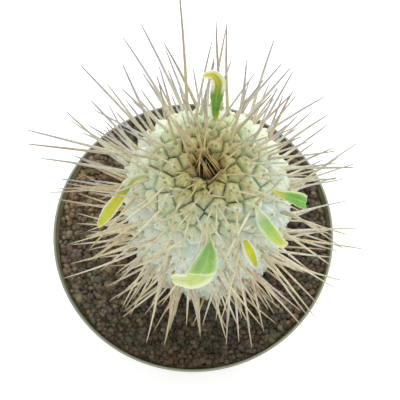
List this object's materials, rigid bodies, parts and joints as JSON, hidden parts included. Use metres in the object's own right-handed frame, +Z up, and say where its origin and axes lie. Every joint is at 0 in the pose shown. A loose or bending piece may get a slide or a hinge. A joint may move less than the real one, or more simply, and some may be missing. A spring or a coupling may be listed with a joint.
{
  "type": "potted halfmens",
  "caption": "Small spiny stem succulent with young leaves round its crown, rooted in gravel in a round plastic pot.",
  "frame": {"origin": "centre of the face the pot stands on, on the pot's axis", "axes": "+Z up, from the pot's base towards the plant's crown; -Y towards the front that the picture shows"},
  "size_m": [0.1328, 0.1294, 0.1999],
  "materials": {
    "pot": "moulded, slightly satin grey-green",
    "gravel": "loose dark brown grains, matt",
    "stem": "living skin, waxy and pale on the wall, cream-green on the dome, with dry tan spines",
    "leaf_back": "living leaf, felted, green to olive-yellow with a pale margin",
    "leaf_left": "living leaf, felted, green to yellow with a pale margin",
    "leaf_right": "living leaf, felted, green with a pale margin",
    "leaf_front_right": "living leaf, felted, green to yellow-green with a pale margin",
    "leaf_small": "living leaf, felted, yellow-olive",
    "leaf_front": "living leaf, felted, green with a pale waved margin"
  },
  "bodies": {
    "root": {"pot": "pot", "gravel": "gravel", "stem": "stem", "leaf_back": "leaf_back", "leaf_left": "leaf_left", "leaf_right": "leaf_right", "leaf_front_right": "leaf_front_right", "leaf_small": "leaf_small", "leaf_front": "leaf_front"}
  },
  "joints": []
}
